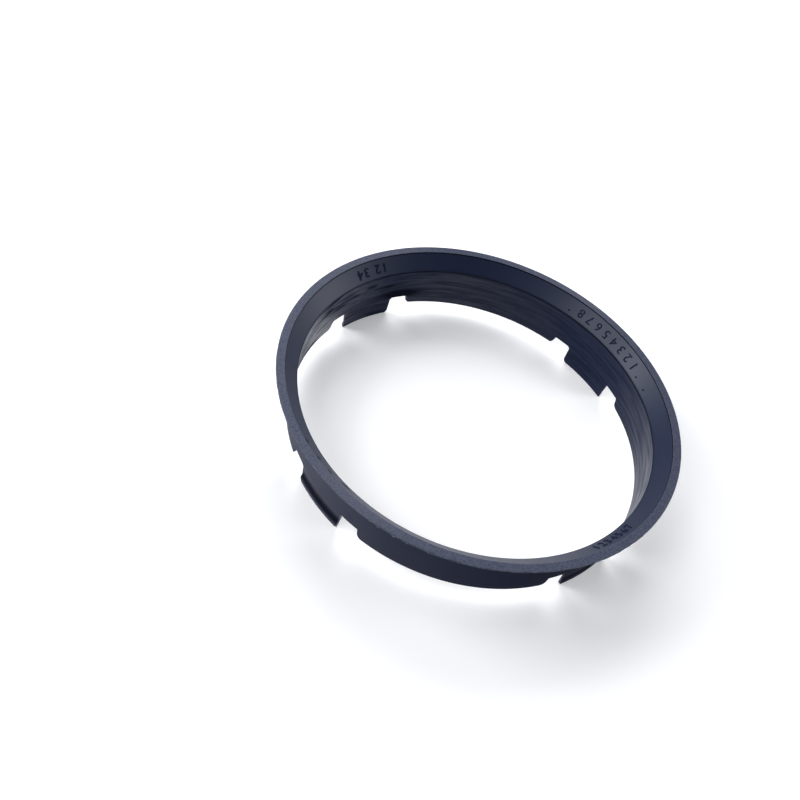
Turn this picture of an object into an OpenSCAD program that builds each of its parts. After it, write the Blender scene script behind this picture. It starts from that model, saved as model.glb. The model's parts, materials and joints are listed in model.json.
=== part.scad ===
// Hub centric ring: a thin moulded sleeve that fills the gap between a wheel's centre bore and
// the hub. A coned flange closes one end, and four spring tabs reach out of the other.
// The ring stands on its tab tips with the flange up. The axis is Z, and every height counts
// up from the tips. The outer land is the bore plus two walls: 72.6 + 2 x 0.75 = 74.1 mm.

/* [Fit] */
// Bore, a sliding fit over the hub's spigot
bore_d = 72.6; // [50:0.1:120]
// Wall between the bore and the land that centres the wheel
wall_t = 0.75; // [0.6:0.05:12]

/* [Flange] */
// How far the flange stands out past the land
flange_reach = 3.75; // [2:0.05:8]
// Width of the flat end face round the mouth
face_w = 1.7; // [0.6:0.05:2.5]
// Lean of the mouth and of the outer cone, from the axis
cone_angle = 45; // [30:1:60]
// Step down from the end face to the mouth's cone
mouth_step = 0.25; // [0.05:0.05:1]
// Upright edge round the flange
rim_h = 0.25; // [0.2:0.05:1]
// Fillet between the outer cone and the land
crease_r = 0.8; // [0.2:0.1:3]
// Rounding of the edges that the mould leaves soft
edge_r = 0.12; // [0.05:0.01:0.2]

/* [Skirt] */
// Height of the closed sleeve, from the crease down to the notch floors
land_h = 6.4; // [3:0.1:30]
// Height of the segments between the notches
segment_h = 2.1; // [1:0.1:6]
// Relief of the bore behind the segments and tabs
relief_t = 0.1; // [0.05:0.01:0.25]
// How far below the notch floors the relief starts
relief_gap = 0.4; // [0.1:0.1:0.9]

/* [Tabs] */
// Number of tabs round the ring
tab_count = 4; // [2:1:6]
// Width of a tab at its root
tab_w = 12.4; // [6:0.1:16]
// How far the tabs stand out past the segments
tab_reach = 2.4; // [2:0.1:6]
// Rounding of a tab's leading corner
tab_corner_r = 0.9; // [0.2:0.1:1.5]
// Fillet at the root of a tab's leading edge
tab_root_r = 0.6; // [0.1:0.1:1]
// Taper of a tab's trailing edge
tab_taper = 5; // [0:1:15]

/* [Notches] */
// Width of the notch on each side of a tab, at its floor
notch_w = 3.9; // [2:0.1:6]
// Slant of a segment's end that faces a leading edge
lead_slant = 15; // [0:1:45]
// Slant of a segment's end that faces a trailing edge
trail_slant = 10; // [0:1:30]
// Rounding of a segment's corner that faces a leading edge
lead_end_r = 0.5; // [0.1:0.1:1]
// Rounding of a segment's corner that faces a trailing edge
trail_end_r = 1.2; // [0.1:0.1:1.2]

/* [Tab lips] */
// Depth of the neck round a tab's outer side, from the land
neck_d = 0.27; // [0.1:0.01:0.35]
// Straight wall left between the notch floors and the neck's ramp
neck_gap = 0.1; // [0.05:0.05:0.5]
// Height of the lip at the tip
lip_h = 1.1; // [0.5:0.1:1.5]
// How far the lip stays inside the land, so that the wheel slides past it
lip_inset = 0.05; // [0:0.01:0.08]
// Radius of the curl that leads out of the neck into the lip
curl_r = 1.2; // [0.4:0.1:2]

/* [Hidden] */

$fn = 144;
arc_step = 10;
spare = 1;

bore_r = bore_d / 2;
land_r = bore_r + wall_t;
relief_r = bore_r + relief_t;
flange_r = land_r + flange_reach;
mouth_r = flange_r - face_w;

segment_z = tab_reach;
floor_z = segment_z + segment_h;
crease_z = floor_z + land_h;
rim_z = crease_z + flange_reach / tan(cone_angle);
face_z = rim_z + rim_h;
cone_z = face_z - mouth_step;
throat_z = cone_z - (mouth_r - bore_r) / tan(cone_angle);

lip_r = land_r - lip_inset;
neck_r = land_r - neck_d;
curl_x = neck_r + curl_r;
curl_z = lip_h + sqrt(curl_r ^ 2 - (curl_x - lip_r) ^ 2);

function unit(v) = v / norm(v);

// Points of an arc round a centre, from one angle to another
function arc(centre, r, from, to) =
    let (steps = ceil(abs(to - from) / arc_step))
    [for (i = [0:steps])
        let (a = from + (to - from) * i / steps)
        centre + r * [cos(a), sin(a)]];

// The corner at b on the way from a to c, rounded to radius r as far as its sides allow
function corner(a, b, c, r) =
    let (u = unit(a - b), v = unit(c - b), half = acos(u * v) / 2,
         run = min(r / tan(half), 0.49 * norm(a - b), 0.49 * norm(c - b)),
         centre = b + unit(u + v) * run / cos(half),
         start = b + u * run - centre,
         turn = atan2(cross(start, b + v * run - centre), start * (b + v * run - centre)),
         from = atan2(start.y, start.x))
    arc(centre, norm(start), from, from + turn);

// Closed outline from corners of the form [x, y] for a sharp one or [x, y, r] for a round one
function outline(corners) =
    let (n = len(corners), p = [for (c = corners) [c.x, c.y]])
    [for (i = [0:n - 1])
        each is_undef(corners[i][2])
            ? [p[i]]
            : corner(p[(i + n - 1) % n], p[i], p[(i + 1) % n], corners[i][2])];

// Half of the ring's section: flange, land, and a plain wall down to the tab tips
module wall_section() {
    polygon(outline([
        [mouth_r, face_z],
        [flange_r, face_z, edge_r],
        [flange_r, rim_z, edge_r],
        [land_r, crease_z, crease_r],
        [land_r, 0],
        [relief_r, 0],
        [relief_r, floor_z - relief_gap],
        [bore_r, floor_z - relief_gap],
        [bore_r, throat_z, edge_r],
        [mouth_r, cone_z],
    ]));
}

// What is cut away outside a tab: a ramp runs down tangent to the curl, the curl leads out
// to the lip, and the lip's edge is rounded
module tab_relief_section() {
    ramp_top = [land_r, floor_z - neck_gap];
    curl = [curl_x, curl_z];
    from_curl = ramp_top - curl;
    tangent_a = atan2(from_curl.y, from_curl.x) + acos(curl_r / norm(from_curl));
    lip_a = 180 + acos((curl_x - lip_r) / curl_r);
    polygon(concat(
        [ramp_top],
        arc(curl, curl_r, tangent_a, lip_a),
        arc([lip_r - edge_r, edge_r], edge_r, 0, -90),
        [[lip_r - edge_r, -spare], [land_r + spare, -spare], [land_r + spare, ramp_top.y]]
    ));
}

// Everything beside a tab and below the skirt's lower edge, as an outline on the tangent plane:
// x runs along the rim from the tab's centre to just past halfway to the next tab
module beside_tab(tip_x, corner_r, root_r, slant, end_r) {
    floor_x = tab_w / 2 + notch_w;
    segment_x = floor_x + segment_h * tan(slant);
    end_x = land_r * sin(180 / tab_count) + spare;
    side = outline([
        [0, 0],
        [tip_x, 0, corner_r],
        [tab_w / 2, floor_z, root_r],
        [floor_x, floor_z],
        [segment_x, segment_z, end_r],
        [end_x, segment_z],
        [end_x, -spare],
    ]);
    polygon(concat(
        [[side[1].x, -spare]],
        [for (i = [1:len(side) - 1]) side[i]]
    ));
}

// An outline on the tangent plane, driven out through the wall from the axis
module through_wall() {
    rotate([90, 0, 90]) linear_extrude(land_r + spare) children();
}

// Cuts that leave one tab at angle 0 with its leading end toward +Y
module tab_cuts() {
    tip_x = tab_w / 2 - floor_z * tan(tab_taper);
    through_wall() beside_tab(tab_w / 2, tab_corner_r, tab_root_r, lead_slant, lead_end_r);
    mirror([0, 1, 0]) through_wall() beside_tab(tip_x, undef, undef, trail_slant, trail_end_r);
    intersection() {
        rotate_extrude() tab_relief_section();
        through_wall() translate([-(tab_w + notch_w) / 2, -spare])
            square([tab_w + notch_w, floor_z + spare]);
    }
}

// The whole ring is one moulding. All leading ends face +Y, as the mould opens that way
module ring() {
    color([0.13, 0.15, 0.20])
    difference() {
        rotate_extrude() wall_section();
        for (i = [0:tab_count - 1]) {
            angle = 360 / tab_count * (i + 0.5);
            rotate([0, 0, angle]) mirror([0, cos(angle) < 0 ? 1 : 0, 0]) tab_cuts();
        }
    }
}

ring();
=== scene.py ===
# %% [markdown]
# # A hub centric ring
#
# The ring is a thin plastic moulding that fills the gap between a wheel's centre bore and the
# hub. A coned flange closes one end, and four spring tabs reach out of the other. It stands
# here on its tab tips with the flange up, on a pale floor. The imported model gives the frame:
# every size below is in millimetres and is multiplied by MM when it becomes a mesh.

# %% Load the frame
import json

import bmesh
import bpy
import numpy as np
from mathutils import Matrix, Vector


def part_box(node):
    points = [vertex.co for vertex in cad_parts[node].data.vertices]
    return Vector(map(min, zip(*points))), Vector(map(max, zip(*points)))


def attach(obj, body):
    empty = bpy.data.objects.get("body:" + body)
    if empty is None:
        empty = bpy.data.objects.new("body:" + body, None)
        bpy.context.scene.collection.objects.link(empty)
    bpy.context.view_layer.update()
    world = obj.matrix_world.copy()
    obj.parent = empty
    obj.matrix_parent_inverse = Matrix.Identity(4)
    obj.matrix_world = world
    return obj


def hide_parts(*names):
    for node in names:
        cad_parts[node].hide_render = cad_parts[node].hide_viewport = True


MM = 0.001
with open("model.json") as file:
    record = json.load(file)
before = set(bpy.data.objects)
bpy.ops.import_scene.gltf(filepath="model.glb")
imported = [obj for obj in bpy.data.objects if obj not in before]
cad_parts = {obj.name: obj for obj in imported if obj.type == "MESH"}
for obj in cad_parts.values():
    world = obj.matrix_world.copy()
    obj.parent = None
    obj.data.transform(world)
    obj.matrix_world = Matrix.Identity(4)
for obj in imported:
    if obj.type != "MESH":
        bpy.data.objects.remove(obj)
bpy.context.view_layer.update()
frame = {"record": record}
scene = bpy.context.scene

# %% [markdown]
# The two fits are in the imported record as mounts: the bore that slides over the hub, and the
# land that centres the wheel. The flange's reach and the height come from the node's box, so
# a change in the solid model moves the dressed one with it.

# %% Main sizes
mount_size = {m["name"]: m["dims"] for m in frame["record"]["mounts"]}
ring_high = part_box("ring")[1]
rim_h, face_w, mouth_step = 0.25, 1.7, 0.25
bore_r = mount_size["hub_bore"]["r_mm"]
land_r = mount_size["wheel_land"]["r_mm"]
flange_r = ring_high.x / MM
face_z = ring_high.z / MM
rim_z = face_z - rim_h
mouth_r = flange_r - face_w
cone_z = face_z - mouth_step
throat_z = cone_z - (mouth_r - bore_r)
crease_z = rim_z - (flange_r - land_r)
print(f"bore {2 * bore_r:.1f}, land {2 * land_r:.1f}, flange {2 * flange_r:.1f}, crease at {crease_z:.1f}")

# %% [markdown]
# ## Camera
#
# The camera looks down at the ring from the front. Its place, its turn and its lens were found
# by fitting the edges of the bore, the mouth and the rim to the photograph. The three vectors
# are the directions of the picture's right, its bottom and its depth.

# %% Camera
view_right = Vector((0.96255, 0.13553, 0.23477))
view_down = Vector((0.25777, -0.72569, -0.63791))
view_depth = Vector((0.08392, 0.67454, -0.73346))
camera_place = Vector((-30.842, -128.788, 145.255)) * MM
focal_px, frame_px, sensor_mm = 949.6, 800, 36

camera_data = bpy.data.cameras.new("camera")
camera_data.sensor_fit = "HORIZONTAL"
camera_data.sensor_width = sensor_mm
camera_data.lens = focal_px * sensor_mm / frame_px
camera_data.clip_start = 0.01
camera = bpy.data.objects.new("camera", camera_data)
turn = Matrix((view_right, -view_down, -view_depth)).transposed()
camera.matrix_world = Matrix.Translation(camera_place) @ turn.to_4x4()
scene.collection.objects.link(camera)
scene.camera = camera
print(f"lens {camera_data.lens:.1f} mm")

# %% [markdown]
# ## Grid surfaces
#
# The ring's skin, the flash and the pips are grids of points. One helper turns such a grid into
# a mesh: neighbouring points make a quad, and the grid wraps round along each closed direction.

# %% Grid to mesh
def grid_quads(rows, columns, closed_rows=True, closed_columns=True):
    """Corner indices of the quads of a grid: every point joins the next row and the next column."""
    index = np.arange(rows * columns).reshape(rows, columns)
    if closed_rows:
        index = np.vstack([index, index[:1]])
    if closed_columns:
        index = np.hstack([index, index[:, :1]])
    corners = index[:-1, :-1], index[1:, :-1], index[1:, 1:], index[:-1, 1:]
    return np.stack(corners, -1).reshape(-1, 4)


def piece_from(name, points, faces):
    """A smooth mesh object from points in millimetres and a list of faces."""
    mesh = bpy.data.meshes.new(name)
    mesh.from_pydata(points.reshape(-1, 3) * MM, [], faces)
    mesh.polygons.foreach_set("use_smooth", np.ones(len(mesh.polygons), bool))
    mesh.update()
    piece = bpy.data.objects.new(name, mesh)
    scene.collection.objects.link(piece)
    return piece


# %% [markdown]
# A moulding's outline is a chain of straight runs with round corners. An arc of radius r
# touches both sides of a corner at r / tan(h) from it, where h is half the corner's angle, and
# its centre lies on the bisector at r / sin(h). Points crowd toward the ends of each straight
# run, so that a broad flat face stays flat right up to its rounded edge.

# %% Chains with round corners
def unit(vectors):
    return vectors / np.linalg.norm(vectors, axis=-1, keepdims=True)


def rounded_chain(corners, run_steps, arc_steps):
    """Points along a chain of corners (a, b, radius), and the index at which each part starts.

    Parts alternate between runs and arcs. A point on an arc is its centre plus the two end
    radii, weighted by the sines of the angles left and passed.
    """
    place = np.array([c[:2] for c in corners], float)
    radius = np.array([c[2] for c in corners[1:-1]], float)[:, None]
    back, ahead = unit(place[:-2] - place[1:-1]), unit(place[2:] - place[1:-1])
    half = np.arccos((back * ahead).sum(1, keepdims=True)) / 2
    centre = place[1:-1] + unit(back + ahead) * radius / np.sin(half)
    arc_start = place[1:-1] + back * radius / np.tan(half)
    arc_end = place[1:-1] + ahead * radius / np.tan(half)
    run_start = np.vstack([place[:1], arc_end])
    run_end = np.vstack([arc_start, place[-1:]])
    parts = []
    for k, steps in enumerate(run_steps):
        share = (1 - np.cos(np.pi * np.arange(steps) / steps))[:, None] / 2
        parts.append(run_start[k] + (run_end[k] - run_start[k]) * share)
        if k < len(arc_steps):
            t, sweep = np.arange(arc_steps[k])[:, None] / arc_steps[k], np.pi - 2 * half[k]
            blend = ((arc_start[k] - centre[k]) * np.sin((1 - t) * sweep)
                     + (arc_end[k] - centre[k]) * np.sin(t * sweep)) / np.sin(sweep)
            parts.append(centre[k] + blend)
    starts = np.cumsum([0] + [len(part) for part in parts])
    return np.vstack(parts + [place[-1:]]), starts


# %% [markdown]
# ## The skirt's lower edge
#
# Unrolled on a plane, the lower edge runs from the middle of a tab's tip round its corner, up
# its side to the notch floor, along the floor, down the end of a segment and on to the middle
# between two tabs. A tab's leading side is upright with round corners, and its trailing side
# is sharp and leans in a little. Every leading side faces +Y. A mould could form the whole edge
# with one insert, and here one function draws both kinds of side from a few sizes.

# %% Sizes of tabs and notches
tab_w, tab_reach, segment_h, notch_w = 12.4, 2.4, 2.1, 3.9
tab_taper_deg = 5
floor_z = tab_reach + segment_h
trail_tip_x = tab_w / 2 - floor_z * np.tan(np.radians(tab_taper_deg))
crisp_r = 0.14
plane_x, end_x = 13.5, 26.0
wall_top_z = 5.0
edge_steps = dict(run_steps=[10, 14, 7, 7, 37], arc_steps=[6, 5, 3, 5])


def lower_edge(tip_x, tip_corner_r, root_r, slant, end_r):
    """Half of the lower edge: x and z of its points, their normals into the wall, and the x of
    the point above each one on the plain wall.

    The wall above is shared out in step with the length along the edge, separately for the
    tab, the notch and the segment, so the lines that join the two never cross.
    """
    floor_x = tab_w / 2 + notch_w
    segment_x = floor_x + segment_h * np.tan(np.radians(slant))
    chain, starts = rounded_chain(
        [(0, 0, 0), (tip_x, 0, tip_corner_r), (tab_w / 2, floor_z, root_r), (floor_x, floor_z, crisp_r),
         (segment_x, tab_reach, end_r), (end_x, tab_reach, 0)], **edge_steps)
    along = np.concatenate([[0], np.cumsum(np.linalg.norm(np.diff(chain, axis=0), axis=1))])
    direction = unit(np.gradient(chain, axis=0))
    normal = np.stack([-direction[:, 1], direction[:, 0]], 1)
    tab_end, floor_end, corner_end = starts[4], starts[5], starts[8]
    keys = [0, tab_end, floor_end, corner_end, len(chain) - 1]
    above = np.interp(along, along[keys],
                      [0, chain[tab_end, 0], chain[floor_end, 0], chain[corner_end, 0] + 0.5, end_x])
    on_tab = np.arange(len(chain)) < tab_end
    return np.column_stack([chain, normal, above, on_tab])


lead_half = lower_edge(tab_w / 2, tip_corner_r=0.9, root_r=0.6, slant=15, end_r=0.5)
trail_half = lower_edge(trail_tip_x, tip_corner_r=crisp_r, root_r=crisp_r, slant=10, end_r=1.2)
print("points along half a lower edge:", len(lead_half))

# %% [markdown]
# Four tabs follow each other round the ring, at 45 degrees and every 90 degrees on. Each has a
# half on either side of its middle. Going round, the halves alternate, and on the -X side they
# swap, which keeps every leading side toward +Y.

# %% Columns round the ring
def one_tab(first_half, second_half, middle_deg):
    """Columns of one quarter: a half read backwards on the near side, the other on the far side."""
    near, far = first_half[:0:-1], second_half[:-1]
    side = np.repeat([-1.0, 1.0], [len(near), len(far)])
    return np.column_stack([np.vstack([near, far]), side, np.full(len(side), np.radians(middle_deg))])


columns = np.vstack([
    one_tab(trail_half, lead_half, 45), one_tab(lead_half, trail_half, 135),
    one_tab(lead_half, trail_half, 225), one_tab(trail_half, lead_half, 315)])
edge_x, edge_z, into_x, into_z, above_x, on_tab, side, tab_angle = columns.T
print("columns round the ring:", len(columns))


def angle_round(x, r):
    """Angle round the axis of a point x to the side of a tab's middle, at radius r.

    Near the tab the cuts go straight through the wall, so the angle's sine is x / r. From
    plane_x on, the angle grows evenly to the middle between two tabs.
    """
    near = np.arcsin(np.minimum(x, plane_x) / r)
    share = ((x - plane_x) / (end_x - plane_x)).clip(0, 1)
    return tab_angle + side * (near + share * (np.pi / 4 - near))


# %% [markdown]
# ## Tab lips
#
# On its outer side a tab is thinned to a neck above a small lip. The lip springs out behind the
# wheel's bore and holds the ring. The section is a straight ramp that runs down tangent to a
# round curl, and the curl leads out to the lip.

# %% Outer and inner radius of the skirt
neck_depth, lip_inset, neck_gap = 0.27, 0.05, 0.1
neck_r, lip_r, ramp_z = land_r - neck_depth, land_r - lip_inset, floor_z - neck_gap
lip_h, curl_r = 1.1, 1.2
curl_x = neck_r + curl_r
curl_z = lip_h + np.sqrt(curl_r ** 2 - (curl_x - lip_r) ** 2)
to_ramp = np.array([land_r - curl_x, ramp_z - curl_z])
touch = np.arctan2(to_ramp[1], to_ramp[0]) + np.arccos(curl_r / np.linalg.norm(to_ramp))
touch_r, touch_z = curl_x + curl_r * np.cos(touch), curl_z + curl_r * np.sin(touch)


def tab_outer_r(z):
    """Outer radius of a tab: a line down the ramp, then the curl's circle, then the lip."""
    ramp = np.interp(z, [touch_z, ramp_z], [touch_r, land_r])
    curl = curl_x - np.sqrt((curl_r ** 2 - (z.clip(lip_h, touch_z) - curl_z) ** 2))
    return np.where(z > touch_z, ramp, np.where(z > lip_h, curl, lip_r))


relief_t, relief_gap, ledge_h = 0.1, 0.4, 0.05
relief_z = floor_z - relief_gap


def skirt_inner_r(z):
    """Inner radius: the bore, stepping out by the relief over one short ledge."""
    return bore_r + relief_t * ((relief_z - z) / ledge_h + 0.5).clip(0, 1)


print(f"neck {neck_r:.2f}, lip {lip_r:.2f}, curl meets ramp at z {touch_z:.2f}")

# %% [markdown]
# ## The ring's skin
#
# The whole ring is one closed sheet: a loop round the section carried round the axis. Rows of
# the grid run round the ring, and each row has a sideways place, a radius and a height in
# every column. Outside, rows come down the skirt to the edge, cross the wall's thickness over
# two small roundings, and climb the inner side. Above the tabs, they follow one fixed section.

# %% Rows of the skirt
edge_round, row_gap = 0.08, 0.012


def skirt_rows(heights, gap, out):
    """Rows between the plain wall and the rounded edge, on lines from above_x down to the edge.

    A row lies at its own height, or a little above the edge where the edge is higher.
    """
    foot_x, foot_z = edge_x + into_x * edge_round, edge_z + into_z * edge_round
    order = np.arange(len(heights))[:, None]
    z = np.maximum(np.array(heights)[:, None], foot_z + gap * (order.max() - order))
    x = above_x + (foot_x - above_x) * (wall_top_z - z) / (wall_top_z - foot_z)
    r = np.where(on_tab > 0, tab_outer_r(z), land_r) if out else skirt_inner_r(z)
    return x, r, z


outer_heights = np.concatenate([
    np.linspace(wall_top_z, ramp_z, 3, endpoint=False), np.linspace(ramp_z, touch_z, 5, endpoint=False),
    np.linspace(touch_z, lip_h, 12, endpoint=False), np.linspace(lip_h, 0, 7)])
inner_heights = np.concatenate([
    np.linspace(wall_top_z, relief_z + ledge_h, 3), relief_z + ledge_h * np.array([0.5, 0, -0.5, -1]),
    np.linspace(relief_z - 0.3, 0, 8)])
outer_skirt = skirt_rows(outer_heights, row_gap, out=True)
inner_skirt = [rows[::-1] for rows in skirt_rows(inner_heights, row_gap, out=False)]


def edge_rows():
    """Rows across the lower edge: a quarter round, the flat of the wall, and a quarter round."""
    quarter = np.linspace(0, np.pi / 2, 5)[1:, None]
    lift = edge_round * (1 - np.sin(quarter))
    depth = edge_round * (1 - np.cos(quarter))
    outer, inner = outer_skirt[1][-1], inner_skirt[1][0]
    flat = np.array([0.15, 0.5, 0.85])[:, None]
    lift = np.vstack([lift, 0 * flat, lift[::-1]])
    r = np.vstack([outer - depth, (outer - edge_round) * (1 - flat) + (inner + edge_round) * flat,
                   inner + depth[::-1]])
    return edge_x + into_x * lift, r, edge_z + into_z * lift


# %% [markdown]
# Above the tabs the ring is the same all the way round, as a turned part would be. One chain of
# corners gives its section: up the bore, out over the mouth's cone, the small step and the flat
# face, down the rim and the outer cone, and down the land. The rows of the skirt and of this
# section together make the grid.

# %% Rows of the sleeve and flange
section, part_starts = rounded_chain(
    [(bore_r, wall_top_z, 0), (bore_r, throat_z, 0.12), (mouth_r, cone_z, 0.08), (mouth_r, face_z, 0.06),
     (flange_r, face_z, 0.13), (flange_r, rim_z, 0.1), (land_r, crease_z, 0.8), (land_r, wall_top_z, 0)],
    run_steps=[18, 10, 3, 6, 3, 7, 7], arc_steps=[4, 2, 3, 4, 4, 7])
section, part_starts = section[1:-1], part_starts - 1
upper = [np.repeat(values[:, None], len(edge_x), axis=1) for values in section.T]
upper_rows = np.repeat(above_x[None], len(section), axis=0), upper[0], upper[1]
blocks = [outer_skirt, edge_rows(), inner_skirt, upper_rows]
row_x, row_r, row_z = (np.vstack([np.broadcast_to(b[k], b[2].shape) for b in blocks]) for k in range(3))
print("grid:", row_z.shape, "triangles:", 2 * row_z.size)

# %% [markdown]
# ## Nicks round the rim
#
# The flange's rim is its most exposed edge. It has a trace of flash from the mould, and small
# nicks from handling. Both are shallow dips of the radius and height next to the rim's lower
# corner: a fine waver all round, plus a few dozen short dents at scattered angles.

# %% Rim waver and nicks
luck = np.random.default_rng(7)


def waver(angle, waves, seed):
    """A sum of cosines round the ring, each with a whole number of waves, scaled to about 1."""
    pick = np.random.default_rng(seed)
    count, shift = pick.choice(waves, 24, replace=False), pick.uniform(0, 2 * np.pi, 24)
    return np.cos(angle[..., None] * count + shift).sum(-1) / np.sqrt(12)


def dents(angle, at, width, depth):
    """A sum of bell curves at the given angles, with the wrap at a full turn taken into account."""
    away = (angle[..., None] - at + np.pi) % (2 * np.pi) - np.pi
    return (depth * np.exp(-(away / width) ** 2)).sum(-1)


column_angle = angle_round(above_x, land_r)
nick_count, rim_reach = 60, 0.16
nick_at = luck.uniform(0, 2 * np.pi, nick_count)
nick = dents(column_angle, nick_at, luck.uniform(0.3, 0.6, nick_count) / flange_r,
             luck.uniform(0.02, 0.1, nick_count))
nick = nick + 0.012 * (1 + waver(column_angle, np.arange(40, 260), 11)).clip(0, 2)
by_rim = np.exp(-((row_r - flange_r) ** 2 + (row_z - rim_z) ** 2) / rim_reach ** 2)
row_r = row_r - by_rim * nick
row_z = np.minimum(row_z + 0.6 * by_rim * nick, face_z)
print(f"deepest nick {nick.max():.2f} mm")

# %% [markdown]
# Every point now has a radius and a height, and its angle follows from its sideways place. The
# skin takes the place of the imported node, so the plain solid is hidden and this finer one shows.

# %% Ring skin
row_angle = angle_round(row_x, row_r)
skin_points = np.stack([row_r * np.cos(row_angle), row_r * np.sin(row_angle), row_z], -1)
ring_skin = piece_from("ring_skin", skin_points, grid_quads(*row_z.shape))
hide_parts("ring")
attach(ring_skin, "root")
print("ring_skin:", len(ring_skin.data.vertices), "points")

# %% [markdown]
# Where the two halves of the mould meet, a little plastic squeezed out and froze as flash. On
# the front of the rim a few ragged flakes of it are left. They are one thin fin along the rim's
# lower corner, whose height is zero except at the flakes, so the fin's ends close by themselves.

# %% Flash on the rim
flash_angle = np.radians(np.linspace(-126, -84, 420))
flake_at = np.radians(np.concatenate([luck.uniform(-118, -112, 5), luck.uniform(-109, -92, 9)]))
flake_h = dents(flash_angle, flake_at, luck.uniform(0.1, 0.3, 14) / flange_r, luck.uniform(0.08, 0.26, 14))
ragged = 0.75 + 0.25 * waver(flash_angle, np.arange(300, 1400), 12)
fin_h = (flake_h * ragged + 0.012 * (1 + waver(flash_angle, np.arange(60, 400), 13))).clip(0, 0.3)
fin_h[[0, -1]] = 0
fin_r = flange_r - 0.04 + np.stack([0 * fin_h - 0.06, 0.12 * fin_h - 0.01, 0.12 * fin_h, 0 * fin_h])
fin_z = rim_z - 0.02 + np.stack([0 * fin_h - 0.04, -0.06 - fin_h, -0.03 - fin_h, 0 * fin_h])
fin_points = np.stack([fin_r * np.cos(flash_angle), fin_r * np.sin(flash_angle), fin_z], -1)
fin_faces = grid_quads(*fin_r.shape, closed_columns=False)[:, ::-1].tolist()
last = len(flash_angle) - 1
fin_faces += [[k * (last + 1) for k in (0, 1, 2, 3)], [k * (last + 1) + last for k in (3, 2, 1, 0)]]
rim_flash = piece_from("rim_flash", fin_points, fin_faces)
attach(rim_flash, "root")
print(f"tallest flake {fin_h.max():.2f} mm")

# %% [markdown]
# The finish changes over the ring, so each point carries four marks in one colour attribute:
# how much it belongs to the bore's wall, to the mouth's cone and to the flat rim, and how near
# it is to a rounded edge. The rim's mark grows toward 225 degrees, which is painted light. The
# tabs' tips get a share of the rim's pale mark and the full edge mark as a painted highlight.

# %% Marks for the finishes
section_parts = ["bore", "throat", "cone", "step foot", "step", "mouth edge", "face", "rim top", "rim",
                 "rim foot", "outer cone", "crease", "land"]
first_edge_row = len(outer_heights)
first_inner_row = first_edge_row + len(edge_rows()[2])
first_section_row = len(row_z) - len(section)
pale_tip_h = 0.75


def part_mask(first, last):
    """1 on the section's parts from the first named one to the last, and 0 elsewhere."""
    start = max(part_starts[section_parts.index(first)], 0)
    stop = part_starts[section_parts.index(last) + 1]
    rows = np.zeros(len(row_z))
    rows[first_section_row + start:first_section_row + stop] = 1
    return rows[:, None] * np.ones(row_z.shape[1])


bore_mask = part_mask("bore", "bore")
bore_mask[first_inner_row:first_section_row] = 1
cone_mask = part_mask("cone", "cone")
# Painted light: the rim's share is larger, and the rim paler, toward 225 degrees.
band_and_painted_light = part_mask("mouth edge", "rim foot") * (0.85 + 0.15 * np.cos(column_angle - np.radians(225)))
# Painted highlight: the tabs' lower edges and lips share the rim's pale colour.
band_and_painted_light[first_edge_row:first_inner_row] = 0.5 * on_tab
band_and_painted_light[:first_edge_row] = 0.4 * on_tab * (outer_skirt[2] < pale_tip_h)
edge_wear_and_tip_highlight = np.zeros(row_z.shape)
for part in ("throat", "mouth edge", "rim top", "rim foot"):
    edge_wear_and_tip_highlight = np.maximum(edge_wear_and_tip_highlight, part_mask(part, part))
# Painted highlight: the tabs' lower edges get the full edge mark.
edge_wear_and_tip_highlight[first_edge_row - 3:first_inner_row - 2] = np.where(on_tab > 0, 1, 0.3)
most_dragged = dents(column_angle, np.radians([150]), np.radians([35]), np.ones(1))
marks = np.stack([bore_mask * (0.5 + 0.5 * most_dragged), cone_mask, band_and_painted_light, edge_wear_and_tip_highlight], -1)
attribute = ring_skin.data.color_attributes.new("finish_and_painted_light", "FLOAT_COLOR", "POINT")
attribute.data.foreach_set("color", marks.ravel())
print("share of points on bore, cone, band and edges:", marks.reshape(-1, 4).mean(0).round(2))

# %% [markdown]
# Two lines on the ring are darker than the faces beside them: the small step between the flat
# rim and the cone, and the throat where the cone meets the bore. The dark there is painted shade
# of the crease. A mark of its own is 1 on such a place and fades to 0 a little way off.

# %% Helpers for lines and spots
def near_line(r, z, reach):
    """A bell curve of the distance to a circle round the axis, in the section's plane."""
    return np.exp(-((row_r - r) ** 2 + (row_z - z) ** 2) / reach ** 2)


def point_mark(name, values):
    """Stores one number for each point of the ring's skin."""
    ring_skin.data.attributes.new(name, "FLOAT", "POINT").data.foreach_set("value", values.ravel())
    print(name, "from", round(float(values.min()), 2), "to", round(float(values.max()), 2))


def spots(at_deg, at_z, length_deg, height):
    """Bell curves of the angle and the height on the ring's inner faces, joined by their maximum."""
    away = (column_angle[:, None] - np.radians(at_deg) + np.pi) % (2 * np.pi) - np.pi
    fade = (away / np.radians(length_deg)) ** 2 + ((row_z[..., None] - at_z) / height) ** 2
    return np.minimum(1.6 * np.exp(-fade).max(-1), 1) * np.maximum(bore_mask, part_mask("throat", "cone"))


# %% [markdown]
# The same mark darkens real wear: some gouges in the bore's wall and a few scuffs on the cone.
# It also paints shade into the necks of the tabs, into the two spots low in the bore near 122 and
# 128 degrees, and onto a broad patch at the front of the outer wall, where the gloss is dulled too.
# Bright scratches run among the gouges, and are kept for the gloss.

# %% Mark for painted shade and worn places
neck_z, neck_spread, neck_strength = 1.9, 1.15, 1.15
# Painted shade in the groove of each tab's neck.
neck = np.minimum(neck_strength * np.exp(-((outer_skirt[2] - neck_z) / neck_spread) ** 2), 1) * on_tab
scuffs = spots([217, 223, 228, 233.5], [14.3, 13.9, 13.6, 12.8], [0.9, 0.6, 0.7, 1.2], 0.26)
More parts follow.
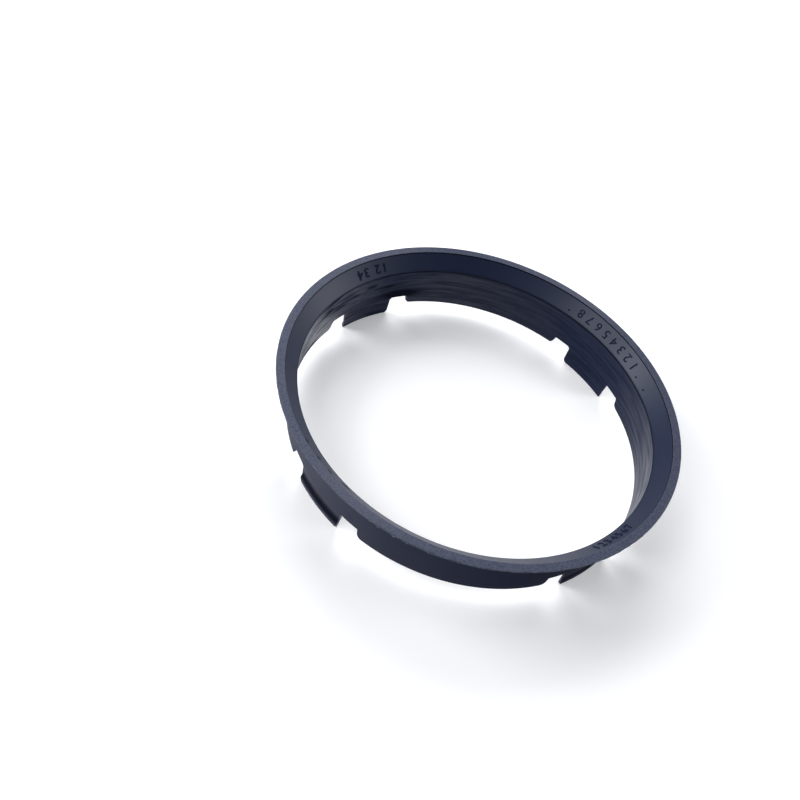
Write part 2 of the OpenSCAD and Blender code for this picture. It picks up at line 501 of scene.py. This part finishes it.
# Real gouges in the bore, except the two spots near 122 and 128 degrees, which are painted shade.
gouges_and_painted_shade = spots([135, 142, 149, 155, 128, 122], [9.7, 8.7, 8.0, 9.4, 8.2, 5.6], [2.0, 2.5, 3.5, 2.0, 3.0, 8.0],
               [0.4, 0.25, 0.35, 0.25, 0.3, 1.1])
# Painted shade in the step and along the throat.
painted_shade_and_wear = np.maximum(part_mask("step foot", "step"), near_line(bore_r, throat_z - 0.15, 0.22))
scratches = spots([139.5, 146, 153], [9.1, 8.6, 9.9], [2.2, 2.0, 1.6], 0.16)
painted_shade_and_wear = np.maximum(painted_shade_and_wear, np.maximum(gouges_and_painted_shade, 0.7 * scuffs))
painted_shade_and_wear[:first_edge_row] = np.maximum(painted_shade_and_wear[:first_edge_row], neck)
# Painted shade: a broad darker, duller patch at the front of the outer wall.
painted_front_shade = 0.7 * dents(column_angle, np.radians([-56]), np.radians([18]), np.ones(1))
outer_wall = (row_r > neck_r - 0.01) & (row_z < crease_z)
painted_shade_and_wear = np.where(outer_wall, np.maximum(painted_shade_and_wear, painted_front_shade), painted_shade_and_wear)
point_mark("painted_shade_and_wear", painted_shade_and_wear)

# %% [markdown]
# The mould leaves a thin glossy skin on the plastic. The mark is the share of full gloss: a plain
# level for each face, with broad bell-shaped rises and falls round the ring. The rises are painted
# highlights and the falls painted shade, set round the ring to match the light. The material uses
# it as the weight of a clear coat over dull plastic.

# %% Mark for the gloss
def painted_sheen(level, at_deg, spread_deg, change):
    """A gloss level that rises or falls by a share of itself round each of the given angles."""
    return level * (1 + dents(column_angle, np.radians(at_deg), np.radians(spread_deg), np.array(change)))


# The bells below are painted highlights and painted shade on each face.
skirt_gloss = painted_sheen(0.34, [-132, -70], [16, 32], [0.7, -0.85])
bore_gloss = painted_sheen(0.6, [-8, 45, 97, 127, 157, 180], [20, 30, 14, 10, 11, 9],
                   [0.35, -0.62, 0.1, -0.8, 1.0, -0.3])
cone_gloss = painted_sheen(0.34, [-3, 32, 52, 105, 185, 220], [26, 9, 12, 32, 18, 16],
                   [-0.75, 0.75, 0.8, -0.8, 0.1, -0.75])
band_gloss = painted_sheen(0.15, [60, 102, 240], [12, 14, 16], [1.0, -0.8, 1.2])
gloss = np.where(bore_mask > 0, bore_gloss, skirt_gloss)
gloss = np.where(part_mask("throat", "cone") > 0, cone_gloss, gloss)
gloss = np.where(part_mask("mouth edge", "rim foot") > 0, band_gloss, gloss)
point_mark("gloss", np.maximum(gloss * (1 - 0.9 * painted_shade_and_wear), scratches).clip(0, 1))

# %% [markdown]
# ## Raised figures
#
# The mouth's cone carries three rows of small raised figures, with their tops toward the bore.
# A mould could have them cut into it. The figures here are plain counting numbers. They start
# as flat text, which is made a mesh before it is wrapped: x runs round the ring, y runs down
# the cone toward the bore, and z stands off the surface.

# %% Wrap flat artwork onto the cone
cone_lean = np.sqrt(0.5)
cone_middle_r = (mouth_r + bore_r) / 2


def onto_cone(flat, angle_deg, slant):
    """Flat (x, y, z) moved onto the cone: the angle grows by x / radius, and radius and height
    change by equal parts along the slant and, with one sign turned, off the surface."""
    x, y, z = flat[..., 0], flat[..., 1], flat[..., 2]
    angle = np.radians(angle_deg) + x / cone_middle_r
    r = mouth_r - (slant + y) * cone_lean - z * cone_lean
    height = cone_z - (slant + y) * cone_lean + z * cone_lean
    return np.stack([r * np.cos(angle), r * np.sin(angle), height], -1)


weld_gap, figure_rise = 0.001, 0.1


def weld(mesh):
    """Joins points that lie on each other, which closes a shell, and turns its faces outward."""
    shell = bmesh.new()
    shell.from_mesh(mesh)
    bmesh.ops.remove_doubles(shell, verts=shell.verts, dist=weld_gap)
    bmesh.ops.recalc_face_normals(shell, faces=shell.faces)
    shell.to_mesh(mesh)
    shell.free()


def flat_figures(words, size, pitch, swell):
    """Text as a closed flat mesh in millimetres, centred. Its strokes grow by swell all round."""
    letters = bpy.data.curves.new("figures", "FONT")
    letters.body, letters.size, letters.space_character = words, size, pitch
    letters.extrude, letters.offset, letters.resolution_u = figure_rise, swell, 4
    letters.align_x, letters.align_y = "CENTER", "CENTER"
    holder = bpy.data.objects.new("figures", letters)
    scene.collection.objects.link(holder)
    bpy.context.view_layer.update()
    mesh = bpy.data.meshes.new_from_object(holder.evaluated_get(bpy.context.evaluated_depsgraph_get()))
    bpy.data.objects.remove(holder)
    weld(mesh)
    return mesh


def raised_row(name, words, size, pitch, swell, angle_deg):
    """One row of raised figures, centred on the cone at an angle round the ring."""
    mesh = flat_figures(words, size, pitch, swell)
    flat = np.zeros(3 * len(mesh.vertices))
    mesh.vertices.foreach_get("co", flat)
    wrapped = onto_cone(flat.reshape(-1, 3), angle_deg, figure_slant)
    mesh.vertices.foreach_set("co", (wrapped * MM).ravel())
    mesh.update()
    row = bpy.data.objects.new(name, mesh)
    scene.collection.objects.link(row)
    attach(row, "root")
    print(name, "spans", round(float(np.ptp(flat.reshape(-1, 3)[:, 0])), 1), "mm")
    return row


figure_slant = 1.95
figure_rows = [
    raised_row("size_figures", "1 2 3 4 5 6 7 8", 2.85, 1.08, -0.004, 44.3),
    raised_row("mould_figures", "12 34", 2.85, 1.25, 0.03, 135),
    raised_row("batch_figures", "1234567", 2.5, 1.2, -0.01, -44.5)]

# %% [markdown]
# Three pips stand near the longest row. They are shallow domes under half a millimetre wide, and
# a mould could form them with small drilled dimples. Each one is rings of points that close at
# the top, with a floor just under the cone's surface, so that no gap shows round its foot.

# %% Pips beside the figures
def dome(radius, height, sink=0.05, rings=5, around=20):
    """A shallow dome: the radius falls with the cosine of t and the height grows with its sine."""
    t = np.linspace(0, np.pi / 2, rings, endpoint=False)[:, None]
    a = np.linspace(0, 2 * np.pi, around, endpoint=False)[None]
    side_on = np.stack([radius * np.cos(t) * np.cos(a), radius * np.cos(t) * np.sin(a),
                        height * np.sin(t) + 0 * a], -1).reshape(-1, 3)
    sunk = side_on[:around] - [0, 0, sink]
    points = np.vstack([sunk, side_on, [[0, 0, height], [0, 0, -sink]]])
    quads = grid_quads(rings + 1, around, closed_rows=False)[:, ::-1].tolist()
    ring_index = np.arange(around)
    following = np.roll(ring_index, -1)
    top, top_ring = len(points) - 2, rings * around
    caps = [[top_ring + i, top_ring + j, top] for i, j in zip(ring_index, following)]
    caps += [[j, i, top + 1] for i, j in zip(ring_index, following)]
    return points, quads + caps


pip_points, pip_faces = dome(radius=0.24, height=0.08)
pip_places = [(22.0, 2.9), (27.5, 2.9), (61.5, 2.9)]
all_points = np.vstack([onto_cone(pip_points, angle, slant) for angle, slant in pip_places])
all_faces = [[corner + k * len(pip_points) for corner in face]
             for k in range(len(pip_places)) for face in pip_faces]
mould_pips = piece_from("mould_pips", all_points, all_faces)
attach(mould_pips, "root")
print("pips:", len(pip_places))

# %% [markdown]
# ## Shader helpers
#
# A material is a graph of small nodes. Two short helpers keep the code readable: one adds a
# node and sets its plain values, and one joins an output to an input.

# %% Node helpers
def add(tree, kind, inputs=(), **settings):
    """Adds a node. inputs are (socket, value) pairs, where a value is a number, a colour or an output."""
    made = tree.nodes.new(kind)
    for name, value in settings.items():
        setattr(made, name, value)
    for socket, value in inputs:
        if isinstance(value, bpy.types.NodeSocket):
            tree.links.new(value, made.inputs[socket])
        else:
            made.inputs[socket].default_value = value
    return made


def maths(tree, operation, *values):
    return add(tree, "ShaderNodeMath", list(enumerate(values)), operation=operation).outputs[0]


def mix_values(tree, share, first, second):
    return add(tree, "ShaderNodeMix", [(0, share), (2, first), (3, second)], data_type="FLOAT").outputs[0]


def mix_colours(tree, share, first, second):
    made = add(tree, "ShaderNodeMix", [(0, share), (6, first), (7, second)], data_type="RGBA")
    return made.outputs[2]


def group(name, inputs, outputs):
    """An empty node group with named sockets: inputs are (name, type, default), outputs (name, type)."""
    tree = bpy.data.node_groups.new(name, "ShaderNodeTree")
    for label, kind, default in inputs:
        socket = tree.interface.new_socket(label, in_out="INPUT", socket_type="NodeSocket" + kind)
        if default is not None:
            socket.default_value = default
    for label, kind in outputs:
        tree.interface.new_socket(label, in_out="OUTPUT", socket_type="NodeSocket" + kind)
    return tree, tree.nodes.new("NodeGroupInput").outputs, tree.nodes.new("NodeGroupOutput").inputs


def use(tree, made_group, inputs):
    """Places a node group in a material and returns its outputs."""
    return add(tree, "ShaderNodeGroup", inputs, node_tree=made_group).outputs


# %% [markdown]
# ## Grain, streaks and worn edges
#
# Three effects make the plastic look moulded. Grain is a fine speckle that the mould's surface
# leaves. Streaks are long marks drawn round the ring, where the melt flowed and where the ring
# was turned and handled. Worn edges are paler, because rubbing roughens the plastic there; on
# the ring's tabs the same paleness is a painted highlight.

# %% Grain group
grain, g_in, g_out = group(
    "moulded_grain", [("Vector", "Vector", None), ("Per mm", "Float", 3.0)],
    [("Speckle", "Float"), ("Cloud", "Float")])
fine = add(grain, "ShaderNodeTexNoise", [("Vector", g_in["Vector"]), ("Scale", g_in["Per mm"]),
                                         ("Detail", 2.0), ("Roughness", 0.5)])
broad_scale = maths(grain, "MULTIPLY", g_in["Per mm"], 0.12)
broad = add(grain, "ShaderNodeTexNoise", [("Vector", g_in["Vector"]), ("Scale", broad_scale),
                                          ("Detail", 4.0)])
speckle = add(grain, "ShaderNodeMapRange", [("Value", fine.outputs[0]), ("From Min", 0.36),
                                            ("From Max", 0.66)])
grain.links.new(speckle.outputs[0], g_out["Speckle"])
grain.links.new(broad.outputs[0], g_out["Cloud"])

# %% Streak group
streaks, s_in, s_out = group(
    "drawn_streaks",
    [("Vector", "Vector", None), ("Along per mm", "Float", 0.09), ("Across per mm", "Float", 1.3)],
    [("Streak", "Float")])
stretch = add(streaks, "ShaderNodeCombineXYZ", [(0, s_in["Along per mm"]), (1, s_in["Along per mm"]),
                                                (2, s_in["Across per mm"])])
drawn = add(streaks, "ShaderNodeVectorMath", [(0, s_in["Vector"]), (1, stretch.outputs[0])],
            operation="MULTIPLY")
wavy = add(streaks, "ShaderNodeTexNoise", [("Vector", drawn.outputs[0]), ("Scale", 1.0), ("Detail", 4.0),
                                           ("Roughness", 0.5), ("Distortion", 0.8)])
even = add(streaks, "ShaderNodeMapRange", [("Value", wavy.outputs[0]), ("From Min", 0.38),
                                           ("From Max", 0.64)])
streaks.links.new(even.outputs[0], s_out["Streak"])

# %% Worn edge group
wear, w_in, w_out = group(
    "worn_edges", [("Vector", "Vector", None), ("Edge", "Float", 0.0), ("Per mm", "Float", 0.8)],
    [("Wear", "Float")])
patchy = add(wear, "ShaderNodeTexNoise", [("Vector", w_in["Vector"]), ("Scale", w_in["Per mm"]),
                                          ("Detail", 5.0), ("Roughness", 0.7)])
bare = add(wear, "ShaderNodeMapRange", [("Value", patchy.outputs[0]), ("From Min", 0.42), ("From Max", 0.62)])
wear.links.new(maths(wear, "MULTIPLY", bare.outputs[0], w_in["Edge"]), w_out["Wear"])
print("node groups:", [g.name for g in bpy.data.node_groups])

# %% [markdown]
# ## Plastic of the ring
#
# The moulding is a very dark navy plastic with a satin gloss, which is a coat over a dull body.
# The rim's flat face has a coarse, dull grain, so it looks paler. The bore's wall is glossier
# and streaked. The marks stored on the points choose between these finishes.

# %% Ring plastic
navy, violet = (0.005, 0.010, 0.036, 1), (0.006, 0.008, 0.028, 1)
dark_bore, cone_navy = (0.002, 0.006, 0.020, 1), (0.0080, 0.0118, 0.0325, 1)
# The rim's pale grain colour, and a paler grey for worn edges and the tabs' painted highlight.
rim_grey, wear_and_highlight_grey = (0.066, 0.074, 0.112, 1), (0.16, 0.17, 0.21, 1)
# Near black for the painted shade and for real wear marks.
shade_and_wear_black = (0.001, 0.002, 0.007, 1)
gloss_level, gloss_tint, coat_rough = 0.09, (0.60, 0.76, 1.0, 1), 0.42


def new_material(name):
    material = bpy.data.materials.new(name)
    material.use_nodes = True
    return material, material.node_tree, material.node_tree.nodes["Principled BSDF"].inputs


def dull_gloss(shader):
    """The plastic's weak, faintly blue reflection."""
    shader["Specular IOR Level"].default_value = gloss_level
    shader["Specular Tint"].default_value = gloss_tint


def millimetres(tree):
    """Object coordinates in millimetres, so that patterns are sized as they are on the part."""
    place = add(tree, "ShaderNodeTexCoord").outputs["Object"]
    return add(tree, "ShaderNodeMapping", [("Vector", place), ("Scale", (1 / MM,) * 3)]).outputs[0]


plastic, tree, shader = new_material("ring_plastic")
dull_gloss(shader)
place = millimetres(tree)
finish_and_painted_light = add(tree, "ShaderNodeAttribute", attribute_name="finish_and_painted_light")
split = add(tree, "ShaderNodeSeparateColor", [(0, finish_and_painted_light.outputs["Color"])])
bore_part, cone_part, band_and_painted_light_part = split.outputs
edge_part = finish_and_painted_light.outputs["Alpha"]
speckle, cloud = use(tree, grain, [("Vector", place), ("Per mm", 4.2)])
streak = use(tree, streaks, [("Vector", place)])[0]
worn = use(tree, wear, [("Vector", place), ("Edge", edge_part)])[0]

inner_part = maths(tree, "MAXIMUM", cone_part, bore_part)
body_share = maths(tree, "MAXIMUM", inner_part, maths(tree, "MULTIPLY", cloud, 0.5))
body_colour = mix_colours(tree, body_share, violet, navy)
body_colour = mix_colours(tree, cone_part, body_colour, cone_navy)
body_colour = mix_colours(tree, maths(tree, "MULTIPLY", bore_part, streak), body_colour, dark_bore)
# The rim's pale share also paints light on the tab tips and toward 225 degrees.
band_share = maths(tree, "MULTIPLY", band_and_painted_light_part, mix_values(tree, speckle, 0.55, 1.2))
colour = mix_colours(tree, band_share, body_colour, rim_grey)
# Paler worn edges; on the tabs' tips the paleness is a painted highlight.
colour = mix_colours(tree, maths(tree, "MULTIPLY", worn, 0.35), colour, wear_and_highlight_grey)
# Painted shade in the step, the throat, the tab necks and a front patch; real gouges and scuffs darken too.
shade_and_wear_part = add(tree, "ShaderNodeAttribute", attribute_name="painted_shade_and_wear").outputs["Fac"]
colour = mix_colours(tree, shade_and_wear_part, colour, shade_and_wear_black)
tree.links.new(colour, shader["Base Color"])

gloss_part = add(tree, "ShaderNodeAttribute", attribute_name="gloss").outputs["Fac"]
rubbed = maths(tree, "MULTIPLY", maths(tree, "MULTIPLY", bore_part, streak), 0.95)
coat = maths(tree, "MULTIPLY", gloss_part, maths(tree, "SUBTRACT", 1.0, rubbed))
tree.links.new(coat, shader["Coat Weight"])
shader["Coat Roughness"].default_value = coat_rough

rough = mix_values(tree, cone_part, 0.7, 0.44)
rough = mix_values(tree, bore_part, rough, mix_values(tree, streak, 0.2, 0.75))
rough = mix_values(tree, band_and_painted_light_part, rough, 0.72)
rough = mix_values(tree, shade_and_wear_part, rough, 0.95)
tree.links.new(rough, shader["Roughness"])

band_bump = maths(tree, "MULTIPLY", band_and_painted_light_part, maths(tree, "MULTIPLY", speckle, 0.012))
bore_bump = maths(tree, "MULTIPLY", bore_part, maths(tree, "MULTIPLY", streak, 0.05))
height = maths(tree, "ADD", maths(tree, "ADD", band_bump, bore_bump), maths(tree, "MULTIPLY", speckle, 0.002))
bump = add(tree, "ShaderNodeBump", [("Height", height), ("Distance", MM), ("Strength", 1.0)])
tree.links.new(bump.outputs[0], shader["Normal"])
ring_skin.data.materials.append(plastic)
print("ring_plastic:", len(tree.nodes), "nodes")

# %% [markdown]
# The figures and pips come from the same shot of plastic and share its grain. They look darker
# and duller than the cone, so they have no coat. Their darker cloud is partly painted shade for
# their thin raised strokes. The thin flash has the pale colour of the rim.

# %% Figure plastic
def small_piece_plastic(name, first, second, wear_share):
    """The dull plastic of small raised pieces, clouded from one colour to another."""
    material, tree, shader = new_material(name)
    dull_gloss(shader)
    place = millimetres(tree)
    speckle, cloud = use(tree, grain, [("Vector", place), ("Per mm", 3.2)])
    worn = use(tree, wear, [("Vector", place), ("Edge", 1.0), ("Per mm", 2.0)])[0]
    clouded = mix_colours(tree, cloud, first, second)
    colour = mix_colours(tree, maths(tree, "MULTIPLY", worn, wear_share), clouded, wear_and_highlight_grey)
    tree.links.new(colour, shader["Base Color"])
    tree.links.new(mix_values(tree, speckle, 0.7, 0.85), shader["Roughness"])
    print(name, "has", len(tree.nodes), "nodes")
    return material


figure_plastic = small_piece_plastic("figure_plastic", navy, shade_and_wear_black, 0.05)
flash_plastic = small_piece_plastic("flash_plastic", rim_grey, wear_and_highlight_grey, 0.3)
for piece in figure_rows + [mould_pips, rim_flash]:
    piece.data.materials.clear()
    piece.data.materials.append(flash_plastic if piece == rim_flash else figure_plastic)

# %% [markdown]
# ## Floor and light
#
# The floor is white paper. Rays from the camera, off a gloss or through glass see it brighter
# than its lit colour, so it blends into a white background, and the ring's shadow still falls
# on it. The added glow grows with the distance from the ring.

# %% Floor
floor_mesh = bpy.data.meshes.new("floor")
floor_mesh.from_pydata([(-3, -3, 0), (3, -3, 0), (3, 3, 0), (-3, 3, 0)], [], [(0, 1, 2, 3)])
floor = bpy.data.objects.new("floor", floor_mesh)
scene.collection.objects.link(floor)
paper, tree, shader = new_material("white_paper")
shader["Base Color"].default_value = (0.86, 0.86, 0.87, 1)
shader["Roughness"].default_value = 0.9
shader["Emission Color"].default_value = (1, 1, 1, 1)


def seen_rays(tree):
    """1 for the rays that show a thing: from the camera, off a gloss or through glass."""
    rays = add(tree, "ShaderNodeLightPath").outputs
    shown = maths(tree, "MAXIMUM", rays["Is Glossy Ray"], rays["Is Transmission Ray"])
    return maths(tree, "MAXIMUM", rays["Is Camera Ray"], shown)


from_middle = add(tree, "ShaderNodeVectorMath", [(0, add(tree, "ShaderNodeTexCoord").outputs["Object"])],
                  operation="LENGTH").outputs["Value"]
glow = add(tree, "ShaderNodeMapRange", [("Value", from_middle), ("From Min", 0.15), ("From Max", 0.9),
                                        ("To Min", 0.25), ("To Max", 1.0)]).outputs[0]
tree.links.new(maths(tree, "MULTIPLY", seen_rays(tree), glow), shader["Emission Strength"])
floor_mesh.materials.append(paper)

# %% [markdown]
# The world is white for those same rays and dim for all others, so the background is white while
# the lamps shape the light on the ring. There are four soft lamps: two stand on the left and the
# right, a larger one stands behind, and a weak one fills in from the front left.

# %% Studio light
world = bpy.data.worlds.new("studio")
scene.world = world
world.use_nodes = True
tree = world.node_tree
sky, seen = tree.nodes["Background"].inputs, seen_rays(tree)
tree.links.new(mix_values(tree, seen, 0.2, 1.0), sky["Strength"])
tree.links.new(mix_colours(tree, seen, (0.82, 0.9, 1, 1), (1, 1, 1, 1)), sky["Color"])


def soft_lamp(name, place, width, height, power, target=(0, 0, 0.01)):
    """A rectangular lamp at place, in metres, that faces the target."""
    data = bpy.data.lights.new(name, "AREA")
    data.shape, data.size, data.size_y, data.energy = "RECTANGLE", width, height, power
    lamp = bpy.data.objects.new(name, data)
    lamp.location = place
    lamp.rotation_euler = (Vector(target) - Vector(place)).to_track_quat("-Z", "Y").to_euler()
    scene.collection.objects.link(lamp)


soft_lamp("left_softbox", (-0.55, 0.08, 0.28), 0.35, 0.35, 3.2)
soft_lamp("right_softbox", (0.6, 0.12, 0.14), 0.35, 0.22, 2.6)
soft_lamp("back_softbox", (-0.15, 0.75, 0.55), 0.7, 0.5, 6.5)
soft_lamp("front_left_softbox", (-0.43, -0.30, 0.53), 0.3, 0.3, 1.3)
scene.view_settings.view_transform = "Standard"
